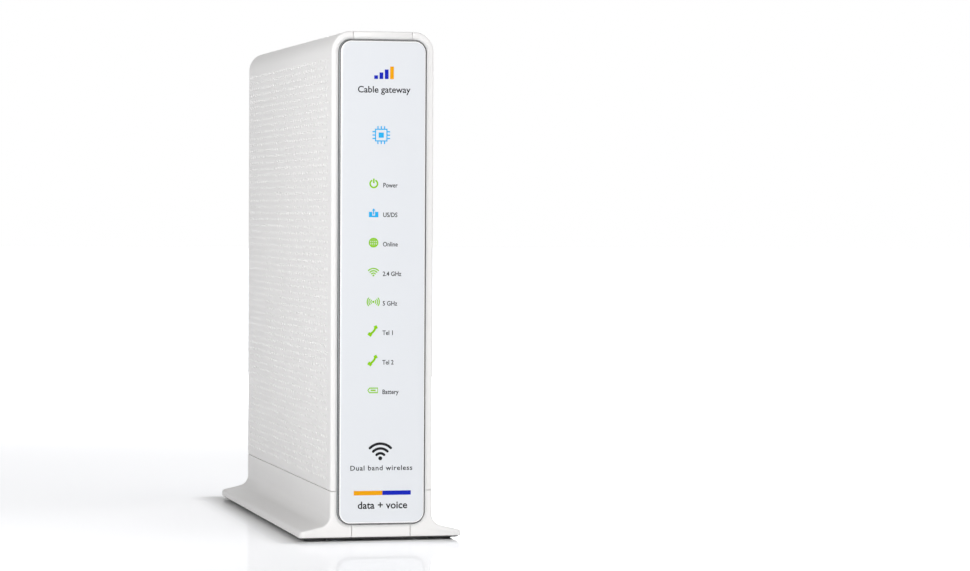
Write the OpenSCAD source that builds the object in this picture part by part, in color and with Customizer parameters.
// Upright cable modem and voice gateway: a slim tower on a flared foot, with a perforated cover on
// each side, a clear front lens, and a recessed rear panel that carries all the sockets.
// The front faces -Y, +Z is up, and the origin is on the floor under the middle of the unit.

/* [Body] */
// Height of the unit above the floor
body_h = 255; // [252:1:262]
// Width of the upright body
body_w = 52; // [51.5:0.1:53]
// Depth of the upright body from the front ring to the rear rim
body_d = 254; // [254:1:262]
// Radius of the two long top corners
corner_r = 10; // [9:0.5:11]
// Wall thickness of the covers
wall = 2.2; // [2:0.1:2.3]
// Half width of the band between the covers on the top and the bottom
band_half = 15; // [14.5:0.1:15.5]
// Width of the fine seam between two covers
seam = 0.2; // [0.1:0.05:0.3]

/* [Foot] */
// Width across both foot skirts
foot_w = 82.4; // [82:0.1:86]
// Height of the seam between a side cover and its foot skirt
foot_seam_z = 25.2; // [24:0.2:27]
// Height of the top of the skirt's outer edge
foot_edge_z = 4.9; // [4.8:0.1:5.4]
// Downward slope of the skirt's upper face in degrees
foot_slope = 12.9; // [12:0.1:13.5]
// Radius of the hollow blend between the side and the skirt
foot_blend_r = 6; // [5.5:0.1:6.5]
// Radius of the skirt's corners seen from above
foot_plan_r = 3; // [2:0.5:4]
// Height of the rubber feet
feet_h = 1.3; // [1:0.1:1.4]
// Thickness of the base plate's rim, which shows under the skirts
base_rim_t = 0.6; // [0.4:0.1:0.8]

/* [Front] */
// Depth of the ring round the front lens
front_lip = 2.9; // [2.8:0.1:3]
// Half width of the opening in the front ring
front_half = 22.6; // [22.4:0.1:22.8]
// Bottom of the opening in the front ring
front_z0 = 8; // [7.8:0.1:8.2]
// Corner radius of the opening in the front ring
front_r = 6.5; // [6:0.1:7]
// Width of the shallow step round the opening
front_step = 0.9; // [0.7:0.1:1]
// Depth of the shallow step round the opening
front_step_t = 0.6; // [0.4:0.1:0.8]
// Play round the lens in its opening
lens_gap = 0.4; // [0.3:0.05:0.5]
// How far the clear lens stands out past the front ring
lens_proud = 1.2; // [0.5:0.1:1.5]
// Height of the lowest indicator light
light_z0 = 75.6; // [74:0.2:77]
// Spacing of the eight indicator lights
light_pitch = 14.77; // [14.6:0.01:14.9]
// Sideways place of the indicator lights
light_x = -4.7; // [-6:0.1:-4]

/* [Rear] */
// Depth of the recess round the sockets
rear_lip = 3.6; // [3.4:0.1:3.8]
// Half width of the rear recess
rear_half = 22.95; // [22.8:0.05:23.1]
// Bottom of the rear recess
rear_z0 = 7.6; // [7.4:0.1:7.8]
// How far the coax socket stands out past the rear rim
coax_proud = 5; // [4:0.5:6]
// Radius of the coax socket's threaded barrel, 3/8 inch across
coax_r = 4.76; // [4.7:0.01:4.8]
// Travel of the reset button
reset_travel = 0.5; // [0.3:0.1:0.5]

/* [Wall mount] */
// Height of the round end of the two keyholes
keyhole_z = 229.7; // [228:0.1:231]
// Distance between the two keyholes
keyhole_spacing = 214; // [210:1:214]
// Radius of the round end of a keyhole
keyhole_r = 2.7; // [2.5:0.1:3]
// Radius of the narrow end of a keyhole
keyhole_slot_r = 1.6; // [1.5:0.1:1.8]

/* [Battery bay] */
// Travel of the battery door before it lifts away
door_travel = 10; // [8:0.5:10]
// Thickness of the battery door
door_t = 1; // [0.9:0.1:1.1]

/* [Hidden] */
$fn = 48;

eps = 0.01;
over = 1;
front_y = lens_proud - (body_d + coax_proud + lens_proud) / 2;
half_w = body_w / 2;
inner_half = half_w - wall;
fit = 0.2;
front_z1 = body_h - 3.8;
rear_z1 = body_h - 2.6;
rear_r = 7;
label_t = 0.3;
panel_t = 2;
panel_y = body_d - rear_lip;
rear_label_t = 0.25;
bulkhead_t = 2;
base_t = 2.1;
base_top = feet_h + base_t;
skirt_z = feet_h + base_rim_t;

// main board, a vertical sheet that faces the left cover
board_t = 1.6;
board_x = 8.5;
board_y = [16, 246];
board_z = [8, 246];

// sockets, all seen from the front
reset_x = 4.6;
reset_z = 232.9;
usb_x = 1.3;
usb_z = [209.5, 218.3];
phone_x = -16.5;
phone_z = [184.4, 197.7];
ethernet_x = -17;
ethernet_z = [141.5, 173.1];
coax_x = 1.5;
coax_z = 89.1;
network_x = -0.8;
network_z = 49.7;
inlet_x = -1.2;
inlet_z = 26.5;

// battery bay and its door
bay_x = [-19.8, 1.8];
bay_y = [40, 114];
bay_top = 48;
door_x = [-22.2, 4.2];
door_y = [36.2, 116];

// fixings
base_screw_x = 20.4;
base_screw_y = [15, 239];
board_screw_places = [
    [24, 20], [130, 20], [236, 62], [24, 236], [128, 236], [206, 236], [40, 128], [180, 112]
];

// ---------- helpers ----------

module placed() translate([0, front_y, 0]) children();

module block(x, y, z) translate([x[0], y[0], z[0]]) cube([x[1] - x[0], y[1] - y[0], z[1] - z[0]]);

module rod_x(x, y, z, r) translate([x[0], y, z]) rotate([0, 90, 0]) cylinder(h = x[1] - x[0], r = r);

module rod_y(x, y, z, r) translate([x, y[1], z]) rotate([90, 0, 0]) cylinder(h = y[1] - y[0], r = r);

module rod_z(x, y, z, r) translate([x, y, z[0]]) cylinder(h = z[1] - z[0], r = r);

// draws a flat X-Z outline and gives it depth from y[0] to y[1]
module along_y(y) translate([0, y[1], 0]) rotate([90, 0, 0]) linear_extrude(y[1] - y[0]) children();

module round_box_2d(x, z, r) {
    translate([x[0] + r, z[0]]) square([x[1] - x[0] - 2 * r, z[1] - z[0]]);
    translate([x[0], z[0] + r]) square([x[1] - x[0], z[1] - z[0] - 2 * r]);
    for (cx = [x[0] + r, x[1] - r], cz = [z[0] + r, z[1] - r]) translate([cx, cz]) circle(r);
}

// the upright body's outline, moved inwards by inset
module body_2d(inset = 0) {
    flat = half_w - corner_r;
    translate([-half_w + inset, 0]) square([body_w - 2 * inset, body_h - corner_r]);
    translate([-flat, 0]) square([2 * flat, body_h - inset]);
    for (s = [-1, 1]) translate([s * flat, body_h - corner_r]) circle(corner_r - inset);
}

module front_opening_2d(gap = 0)
    round_box_2d([-front_half + gap, front_half - gap], [front_z0 + gap, front_z1 - gap], front_r - gap);

module rear_opening_2d() round_box_2d([-rear_half, rear_half], [rear_z0, rear_z1], rear_r);

// a thin round wire through the listed points
module wire(points, r) {
    for (i = [0 : len(points) - 2]) {
        d = points[i + 1] - points[i];
        translate(points[i]) rotate([0, acos(d[2] / norm(d)), atan2(d[1], d[0])]) cylinder(h = norm(d), r = r);
    }
    for (i = [1 : len(points) - 2]) translate(points[i]) sphere(r);
}

// ---------- covers and frame ----------

module inner_space() along_y([front_lip, panel_y]) body_2d(wall);

module openings() {
    along_y([-over, front_lip + eps]) front_opening_2d();
    along_y([-over, front_step_t]) front_opening_2d(-front_step);
    along_y([panel_y - eps, body_d + over]) rear_opening_2d();
}

module plain_side_cover() {
    difference() {
        along_y([0, body_d]) intersection() {
            body_2d();
            translate([band_half + seam / 2, foot_seam_z + seam / 2]) square([half_w, body_h]);
        }
        inner_space();
        openings();
    }
}

module keyhole(y) {
    rod_x([inner_half - over, half_w + over], y, keyhole_z, keyhole_r);
    rod_x([inner_half - over, half_w + over], y, keyhole_z + keyhole_rise, keyhole_slot_r);
    block([inner_half - over, half_w + over], [y - keyhole_slot_r, y + keyhole_slot_r], [keyhole_z, keyhole_z + keyhole_rise]);
}

// the pair sits forward of the middle, clear of the rear sockets
keyhole_forward = 6.8;
keyhole_rise = 4.1;
keyhole_y0 = (body_d - keyhole_spacing) / 2 - keyhole_forward;

module left_side_cover() color("whitesmoke") placed() mirror([1, 0, 0]) plain_side_cover();

module right_side_cover() color("whitesmoke") placed() difference() {
    union() {
        plain_side_cover();
        for (p = board_screw_places) if (p[1] > foot_seam_z + 4) rod_x([board_x + board_t, inner_half + 1], p[0], p[1], 3);
    }
    for (p = board_screw_places) rod_x([board_x, board_x + 10], p[0], p[1], 1.1);
    keyhole(keyhole_y0);
    keyhole(keyhole_y0 + keyhole_spacing);
}

// right half of the skirt's outline; the hollow blend is a true arc
module skirt_2d() {
    blend_x = half_w + foot_blend_r;
    touch_x = blend_x - foot_blend_r * sin(foot_slope);
    touch_z = foot_edge_z + (foot_w / 2 - touch_x) * tan(foot_slope);
    blend_z = touch_z + foot_blend_r * cos(foot_slope);
    difference() {
        polygon([
            [band_half + seam / 2, skirt_z], [foot_w / 2, skirt_z], [foot_w / 2, foot_edge_z],
            [touch_x, touch_z], [blend_x, blend_z], [half_w, blend_z],
            [half_w, foot_seam_z - seam / 2], [band_half + seam / 2, foot_seam_z - seam / 2]
        ]);
        translate([blend_x, blend_z]) circle(foot_blend_r);
    }
}

skirt_wall_x = foot_w / 2 - 2;

module skirt_hollow_2d() polygon([
    [0, 0], [skirt_wall_x, 0], [skirt_wall_x, 3.45], [half_w + 4.3, 5.4],
    [half_w + 1.5, 8.4], [inner_half, 11], [inner_half, 30], [0, 30]
]);

module foot_skirt() {
    lap = [20, foot_seam_z + 4];
    difference() {
        intersection() {
            along_y([0, body_d]) skirt_2d();
            linear_extrude(foot_seam_z) round_box_2d([-foot_w / 2, foot_w / 2], [0, body_d], foot_plan_r);
        }
        along_y([front_lip, panel_y]) skirt_hollow_2d();
        openings();
    }
    block([inner_half - 1.2, inner_half], [20, 234], lap);
    for (y = base_screw_y) difference() {
        union() {
            rod_z(base_screw_x, y, [base_top, 16], 3);
            block([base_screw_x, inner_half + 0.5], [y - 1.5, y + 1.5], [base_top, 16]);
        }
        rod_z(base_screw_x, y, [base_top - over, 13], 1.1);
    }
}

module left_foot_skirt() color("whitesmoke") placed() mirror([1, 0, 0]) foot_skirt();

module right_foot_skirt() color("whitesmoke") placed() foot_skirt();

// the top strip, the wall behind the lens and the keel under the main board are one moulding
module centre_frame() color("whitesmoke") placed() {
    strip = band_half - seam / 2;
    keel = [4.6, strip];
    keel_top = 6.2;
    difference() {
        union() {
            difference() {
                along_y([0, body_d]) intersection() {
                    body_2d();
                    translate([-strip, 200]) square([2 * strip, 100]);
                }
                inner_space();
                openings();
            }
            difference() {
                along_y([0, body_d]) translate([-strip, skirt_z]) square([2 * strip, 20]);
                along_y([front_lip, panel_y]) translate([-half_w, 0]) square([body_w, 40]);
                openings();
            }
            along_y([front_lip, front_lip + bulkhead_t]) intersection() {
                body_2d(wall + fit);
                translate([-half_w, base_top]) square([body_w, body_h]);
            }
            block([-strip, strip], [front_lip, front_lip + bulkhead_t], [body_h - wall - 2, body_h - 1]);
            block(keel, [front_lip - 1, panel_y + 1], [base_top, keel_top]);
            for (s = [-1, 1]) translate([s * (band_half - 0.2), 0, 0])
                block([-1.2, 1.2], [8, 244], [body_h - wall - 1.4, body_h - wall]);
        }
        for (i = [0 : 7]) rod_y(light_x, [0, 10], light_z0 + i * light_pitch, 2.6);
    }
}

// how far the base plate's rim stays inside the skirts
rim_inset = 0.8;

module base_plate() color("dimgray") placed() difference() {
    union() {
        translate([0, 0, feet_h]) linear_extrude(base_t)
            round_box_2d([-skirt_wall_x + fit, skirt_wall_x - fit], [front_lip + fit, panel_y - fit], 3);
        translate([0, 0, feet_h]) linear_extrude(base_rim_t - 0.05)
            round_box_2d([rim_inset - foot_w / 2, foot_w / 2 - rim_inset], [rim_inset, body_d - rim_inset], foot_plan_r);
    }
    block(door_x - [fit, -fit], [door_y[0] - fit, door_y[1] + fit + door_travel], [0, feet_h + door_t + 0.15]);
    block(bay_x, bay_y, [0, base_top + over]);
    for (s = [-1, 1], y = base_screw_y) {
        rod_z(s * base_screw_x, y, [0, base_top + over], 1.6);
        rod_z(s * base_screw_x, y, [0, feet_h + 1], 3);
    }
    for (i = [0 : 11]) block([12, 32], [52 + 14 * i, 55 + 14 * i], [0, base_top + over]);
    for (i = [0 : 7]) block([-32, -24], [50 + 20 * i, 53 + 20 * i], [0, base_top + over]);
}

module rubber_feet() color("black") placed()
    for (x = [-32, 32], y = [14, 240])
        linear_extrude(feet_h) translate([x, y]) round_box_2d([-5.5, 5.5], [-8, 8], 2.5);

module base_screws() color("silver") placed()
    for (s = [-1, 1], y = base_screw_y) difference() {
        union() {
            rod_z(s * base_screw_x, y, [feet_h - 0.9, feet_h + 1], 2.7);
            rod_z(s * base_screw_x, y, [feet_h + 1 - eps, 12], 1.05);
        }
        rod_z(s * base_screw_x, y, [0, feet_h], 0.9);
    }

// ---------- front ----------

module front_lens() color([0.9, 0.93, 0.95]) placed() along_y([-lens_proud, front_lip - label_t]) front_opening_2d(lens_gap);

module front_label() color("white") placed() along_y([front_lip - label_t, front_lip]) front_opening_2d(lens_gap + 0.9);

module light_guides() color("azure") placed() {
    guide_end = 10.8;
    carrier = [6, 7.5];
    block([light_x - 3.5, light_x + 3.5], carrier, [light_z0 - 6, light_z0 + 7 * light_pitch + 6]);
    for (i = [0 : 7]) rod_y(light_x, [front_lip, guide_end], light_z0 + i * light_pitch, 2.4);
}

module indicator_board() color("darkgreen") placed()
    block([light_x - 9, 7.5], [12, 13.2], [light_z0 - 10, light_z0 + 7 * light_pitch + 10]);

module indicator_leds() color("yellowgreen") placed()
    for (i = [0 : 7]) translate([0, 0, light_z0 + i * light_pitch])
        block([light_x - 1.6, light_x + 1.6], [10.9, 12], [-1.4, 1.4]);

module ribbon_cable() color("white") placed() {
    block([1, 1.5], [13.2, 34], [96, 112]);
    block([1, 8.5], [33.5, 34], [96, 112]);
}

// ---------- rear panel and its sockets ----------

usb_flange = [14.5, 7];
ethernet_front = panel_y + 1;
inlet_plate = [18, 23.1];

module socket_windows() {
    y = [panel_y - 10, body_d];
    for (z = usb_z) block([usb_x - 7.4, usb_x + 7.4], y, [z - 3.7, z + 3.7]);
    block([phone_x - fit, board_x + fit], y, [phone_z[0] - fit, phone_z[1] + fit]);
    block([ethernet_x - fit, board_x + fit], y, [ethernet_z[0] - fit, ethernet_z[1] + fit]);
    block([inlet_x - 8.4, inlet_x + 8.4], y, [inlet_z - 10.9, inlet_z + 10.9]);
    rod_y(reset_x, y, reset_z, 2.1);
    rod_y(coax_x, y, coax_z, coax_r + 0.3);
    rod_y(network_x, y, network_z, 1.6);
}

module rear_panel() color("gainsboro") placed() difference() {
    along_y([panel_y - panel_t, panel_y]) intersection() {
        body_2d(wall + fit);
        translate([-half_w, 6.4]) square([body_w, body_h]);
    }
    socket_windows();
}

module rear_label() color("lightsteelblue") placed() difference() {
    block([-20.3, 20.3], [panel_y, panel_y + rear_label_t], [10.3, 235.8]);
    socket_windows();
    block([inlet_x - 9.2, inlet_x + 9.2], [panel_y - over, body_d], [inlet_z - 11.8, inlet_z + 11.8]);
}

module usb_shells() color("silver") placed()
    for (z = usb_z) difference() {
        union() {
            block([usb_x - 6.6, usb_x + 6.6], [panel_y - 16, panel_y + 0.8], [z - 2.9, z + 2.9]);
            block([usb_x - usb_flange[0] / 2, usb_x + usb_flange[0] / 2], [panel_y + 0.3, panel_y + 0.8],
                [z - usb_flange[1] / 2, z + usb_flange[1] / 2]);
        }
        block([usb_x - 6.25, usb_x + 6.25], [panel_y - 15.6, body_d], [z - 2.55, z + 2.55]);
    }

module usb_tongues() color("black") placed()
    for (z = usb_z) block([usb_x - 5.6, usb_x + 5.6], [panel_y - 15.6, panel_y - 0.6], [z - 0.1, z + 1.7]);

module usb_housing() color("black") placed() difference() {
    block([usb_x - 7, board_x], [panel_y - 19, panel_y - panel_t - 0.4], [usb_z[0] - 4.6, usb_z[1] + 4.6]);
    for (z = usb_z) block([usb_x - 6.6, usb_x + 6.6], [panel_y - 16, panel_y], [z - 2.9, z + 2.9]);
}

phone_centres = [-9.9, 1.9];
phone_mid_z = (phone_z[0] + phone_z[1]) / 2;

module phone_jack_block() color([0.12, 0.12, 0.13]) placed() difference() {
    block([phone_x, board_x], [panel_y - 17, ethernet_front], phone_z);
    for (i = [0, 1]) {
        out = i == 0 ? -1 : 1;
        x = phone_centres[i];
        block([x - 3.6, x + 3.6], [panel_y - 13, body_d], [phone_mid_z - 5, phone_mid_z + 5]);
        translate([x + out * 4.2, 0, 0]) block([-1.1, 1.1], [panel_y - 9, body_d], [phone_mid_z - 3, phone_mid_z + 3]);
    }
}

module phone_jack_contacts() color("gold") placed()
    for (i = [0, 1], k = [-1.5 : 1 : 1.5]) {
        out = i == 0 ? -1 : 1;
        root = phone_centres[i] - out * 3.6;
        z = phone_mid_z + k * 1.27;
        translate([root + out * 0.5, 0, 0]) block([-0.5, 0.5], [panel_y - 12.6, panel_y - 3], [z - 0.25, z + 0.25]);
    }

ethernet_rows = [ethernet_z[0] + 7.9, ethernet_z[1] - 7.9];
ethernet_columns = [-10.3, 1.8];

module ethernet_cavities(depth) {
    for (i = [0, 1], z = ethernet_rows) {
        out = i == 0 ? -1 : 1;
        x = ethernet_columns[i];
        block([x - 4.2, x + 4.2], [panel_y - depth, body_d], [z - 6.1, z + 6.1]);
        translate([x + out * 4.9, 0, 0]) block([-1, 1], [panel_y - depth + 4, body_d], [z - 3.2, z + 3.2]);
    }
}

module ethernet_shield() color("silver") placed() difference() {
    block([ethernet_x, board_x], [panel_y - 21, ethernet_front], ethernet_z);
    block([ethernet_x + 0.3, board_x - 0.3], [panel_y - 20.7, ethernet_front - 0.4], ethernet_z + [0.3, -0.3]);
    ethernet_cavities(20);
    for (i = [0, 1], z = ethernet_rows, s = [-1, 1]) {
        out = i == 0 ? -1 : 1;
        translate([ethernet_columns[i] + out * 5, 0, z + s * 4.9]) block([-1, 1], [panel_y, body_d], [-1.2, 1.2]);
    }
}

module ethernet_insert() color([0.15, 0.15, 0.16]) placed() difference() {
    block([ethernet_x + 0.35, board_x - 0.35], [panel_y - 20.6, ethernet_front - 0.45], ethernet_z + [0.35, -0.35]);
    ethernet_cavities(14);
    for (i = [0, 1], z = ethernet_rows, s = [-1, 1]) {
        out = i == 0 ? -1 : 1;
        translate([ethernet_columns[i] + out * 5, 0, z + s * 4.9]) block([-1, 1], [panel_y - 3, body_d], [-1.2, 1.2]);
    }
}

module ethernet_contacts() color("gold") placed()
    for (i = [0, 1], z = ethernet_rows, k = [-3.5 : 1 : 3.5]) {
        out = i == 0 ? -1 : 1;
        root = ethernet_columns[i] - out * 4.2;
        translate([root + out * 0.6, 0, z + k * 1.02]) block([-0.6, 0.6], [panel_y - 14, panel_y - 2], [-0.22, 0.22]);
    }

module ethernet_leds() color("limegreen") placed()
    for (i = [0, 1], z = ethernet_rows, s = [-1, 1]) {
        out = i == 0 ? -1 : 1;
        translate([ethernet_columns[i] + out * 5, 0, z + s * 4.9])
            block([-0.9, 0.9], [panel_y - 3, ethernet_front - 0.1], [-1.1, 1.1]);
    }

coax_tip = body_d + coax_proud;
coax_base_y = panel_y - 10;
coax_thread_y = panel_y + rear_label_t + 0.05;

module coax_body() color("silver") placed() difference() {
    union() {
        rod_y(coax_x, [coax_thread_y, coax_tip], coax_z, coax_r);
        rod_y(coax_x, [coax_base_y, coax_thread_y + eps], coax_z, 4.2);
        block([coax_x - 7, board_x], [coax_base_y - 13, coax_base_y + eps], [coax_z - 6.6, coax_z + 6.6]);
    }
    rod_y(coax_x, [coax_tip - 9, coax_tip + over], coax_z, 2.9);
}

module coax_insulator() color("white") placed() difference() {
    rod_y(coax_x, [coax_tip - 9, coax_tip - 0.7], coax_z, 2.9);
    rod_y(coax_x, [coax_tip - 8, coax_tip], coax_z, 1);
}

module coax_contact() color("gold") placed() difference() {
    rod_y(coax_x, [coax_tip - 8, coax_tip - 1.5], coax_z, 1);
    rod_y(coax_x, [coax_tip - 6, coax_tip], coax_z, 0.55);
}

module network_light_pipe() color("azure") placed() rod_y(network_x, [panel_y - 11, panel_y + 0.5], network_z, 1.5);

module network_led() color("deepskyblue") placed()
    block([network_x - 1.6, board_x], [panel_y - 17, panel_y - 11], [network_z - 1.8, network_z + 1.8]);

pin_places = [inlet_z - 3.7, inlet_z + 4.9];

module figure_eight_2d() {
    translate([inlet_x + 0.3, pin_places[1] - 0.8]) circle(4.3);
    translate([inlet_x + 0.3 - 4.3, pin_places[0] - 4.8]) square([8.6, 8.6]);
    translate([inlet_x + 0.3 - 2.45, pin_places[0]]) square([4.9, 8.6]);
}

module inlet_body() color([0.1, 0.1, 0.11]) placed() difference() {
    union() {
        along_y([panel_y, panel_y + 1.8])
            round_box_2d([inlet_x - inlet_plate[0] / 2, inlet_x + inlet_plate[0] / 2],
                [inlet_z - inlet_plate[1] / 2, inlet_z + inlet_plate[1] / 2], 1);
        block([inlet_x - 8.2, inlet_x + 8.2], [panel_y - 17, panel_y + eps], [inlet_z - 10.7, inlet_z + 10.7]);
    }
    along_y([panel_y - 12, body_d]) figure_eight_2d();
    for (z = pin_places) rod_y(inlet_x + 0.3, [panel_y - 14, panel_y - 11], z, 1.2);
}

module inlet_pins() color("silver") placed()
    for (z = pin_places) rod_y(inlet_x + 0.3, [panel_y - 14, panel_y - 0.5], z, 1.2);

module reset_button() color("black") placed() {
    rod_y(reset_x, [panel_y - 6.3, panel_y - 1], reset_z, 1.7);
    rod_y(reset_x, [panel_y - 6.3, panel_y - 5.3], reset_z, 2.6);
}

module reset_switch() color("silver") placed() {
    block([1.4, board_x], [panel_y - 12, panel_y - 6.3 - reset_travel - 0.1], [reset_z - 3, reset_z + 3]);
    rod_y(reset_x, [panel_y - 12 - eps, panel_y - 6.3 - reset_travel - 0.1], reset_z, 2.6);
}

// ---------- electronics ----------

module board_part(y, z, height) block([board_x - height, board_x], y, z);

module main_board() color("darkgreen") placed() difference() {
    block([board_x, board_x + board_t], board_y, board_z);
    for (p = board_screw_places) rod_x([board_x - over, board_x + board_t + over], p[0], p[1], 1.5);
}

module tuner_can() color("silver") placed() board_part([184, 224], [70, 108], 7);

can_height = 3.5;

module wireless_cans() color("silver") placed() {
    board_part([58, 96], [150, 182], can_height);
    board_part([58, 96], [192, 222], can_height);
}

processor_y = [128, 158];
processor_z = [128, 158];

module processor() color([0.15, 0.15, 0.16]) placed() board_part(processor_y, processor_z, 1.6);

module heatsink() color("lightgray") placed() {
    y = [processor_y[0] - 9, processor_y[1] + 9];
    z = [processor_z[0] - 9, processor_z[1] + 9];
    fins = 9;
    fin_t = 1.4;
    pitch = (z[1] - z[0] - fin_t) / (fins - 1);
    face = board_x - 1.6;
    block([face - 3, face], y, z);
    for (i = [0 : fins - 1]) block([face - 17, face - 3 + eps], y, [z[0] + i * pitch, z[0] + i * pitch + fin_t]);
}

module memory_chips() color([0.15, 0.15, 0.16]) placed()
    for (z = [124, 140, 156]) board_part([102, 113], [z, z + 9], 1.1);

module switch_chip() color([0.15, 0.15, 0.16]) placed() board_part([184, 200], [148, 164], 1.4);

module line_transformers() color([0.15, 0.15, 0.16]) placed()
    for (z = [142, 158.5]) board_part([207, 224], [z, z + 14], 6);

module line_relays() color("orange") placed()
    for (z = [181, 193]) board_part([206, 226], [z, z + 9.5], 8);

module capacitors() color("midnightblue") placed()
    for (p = [[150, 24], [150, 38], [136, 32], [166, 60], [150, 60]]) rod_x([board_x - 13, board_x], p[0], p[1], 4);

module bulk_capacitor() color("midnightblue") placed() rod_x([board_x - 25, board_x], 212, 54, 9);

module power_transformer() color("goldenrod") placed() {
    block([board_x - 20, board_x], [180, 204], [17, 37]);
    block([board_x - 16, board_x - 4], [176, 208], [20, 34]);
}

module power_heatsink() color("silver") placed() {
    block([board_x - 24, board_x], [166, 168], [14, 48]);
    block([board_x - 24, board_x - 22], [166, 174], [14, 48]);
}

module mains_choke() color("firebrick") placed()
    translate([board_x - 5, 221, 26]) rotate([0, 90, 0]) rotate_extrude() translate([5.8, 0]) circle(3.6);

module mains_fuse() color("lightgray") placed() rod_y(board_x - 3, [214, 230], 38.5, 2.6);

module power_inductors() color([0.3, 0.3, 0.32]) placed()
    for (p = [[118, 62], [118, 78], [118, 94]]) board_part([p[0], p[0] + 11], [p[1], p[1] + 11], 5);

antenna_places = [[36, 226], [120, 236], [200, 216]];

module antennas() color([0.2, 0.45, 0.3]) placed()
    for (p = antenna_places) block([-inner_half, -inner_half + 0.8], [p[0], p[0] + 36], [p[1] - 5, p[1] + 5]);

module antenna_leads() color([0.2, 0.2, 0.2]) placed() {
    away = -inner_half + 0.8;
    can_face = board_x - can_height;
    wire([[away, 60, 226], [-12, 60, 226], [-12, 80, 206], [can_face, 80, 206]], 0.6);
    wire([[away, 122, 236], [-14, 122, 236], [-14, 86, 214], [can_face, 86, 214]], 0.6);
    wire([[away, 202, 216], [-16, 202, 216], [-16, 90, 170], [can_face, 90, 170]], 0.6);
}

module board_screws() color("silver") placed()
    for (p = board_screw_places) {
        rod_x([board_x - 1.8, board_x], p[0], p[1], 2.6);
        rod_x([board_x - eps, board_x + 9], p[0], p[1], 1.05);
    }

// ---------- battery ----------

module battery_pack() color([0.2, 0.22, 0.26]) placed()
    block([bay_x[0] + 0.3, bay_x[1] - 0.3], [45, 109], [5.4, bay_top - 1.6]);

module battery_bay() color([0.75, 0.76, 0.78]) placed() difference() {
    block(bay_x + [-1.2, 1.2], [42.4, 112.4], [base_top, bay_top]);
    block(bay_x, [43.6, 111.2], [base_top - over, bay_top - 1.2]);
    block([-10.5, -7.5], [0, 200], [0, 40]);
    block(bay_x, [0, 200], [0, 5.2]);
    for (z = [26, 32, 38]) block([bay_x[1] - over, board_x], [99, 105], [z - 1, z + 1]);
}

module battery_contacts() color("gold") placed()
    for (z = [26, 32, 38]) block([bay_x[1] - 0.3, board_x], [99.4, 104.6], [z - 0.5, z + 0.5]);

// a flat door with two hooks at its front end and a ribbed finger grip at its rear end
module battery_door() color("dimgray") placed() {
    block(door_x, door_y, [feet_h, feet_h + door_t]);
    for (x = [bay_x[0] + 2, bay_x[1] - 6]) {
        block([x, x + 4], [40.6, 42.2], [feet_h + door_t - eps, base_top + 1.2]);
        block([x, x + 4], [37.6, 42.2], [base_top + 0.3, base_top + 1.2]);
    }
    for (i = [0 : 3]) block([-14, -4], [104 + 2 * i, 105 + 2 * i], [feet_h - 0.5, feet_h + eps]);
}

// ---------- every node ----------

left_side_cover();
right_side_cover();
left_foot_skirt();
right_foot_skirt();
centre_frame();
front_lens();
front_label();
light_guides();
indicator_board();
indicator_leds();
ribbon_cable();
rear_panel();
rear_label();
usb_shells();
usb_housing();
usb_tongues();
phone_jack_block();
phone_jack_contacts();
ethernet_shield();
ethernet_insert();
ethernet_contacts();
ethernet_leds();
coax_body();
coax_insulator();
coax_contact();
network_light_pipe();
network_led();
inlet_body();
inlet_pins();
reset_button();
reset_switch();
main_board();
tuner_can();
wireless_cans();
processor();
heatsink();
memory_chips();
switch_chip();
line_transformers();
line_relays();
capacitors();
bulk_capacitor();
power_transformer();
power_heatsink();
mains_choke();
mains_fuse();
power_inductors();
antennas();
antenna_leads();
battery_pack();
battery_bay();
battery_contacts();
battery_door();
base_plate();
rubber_feet();
base_screws();
board_screws();
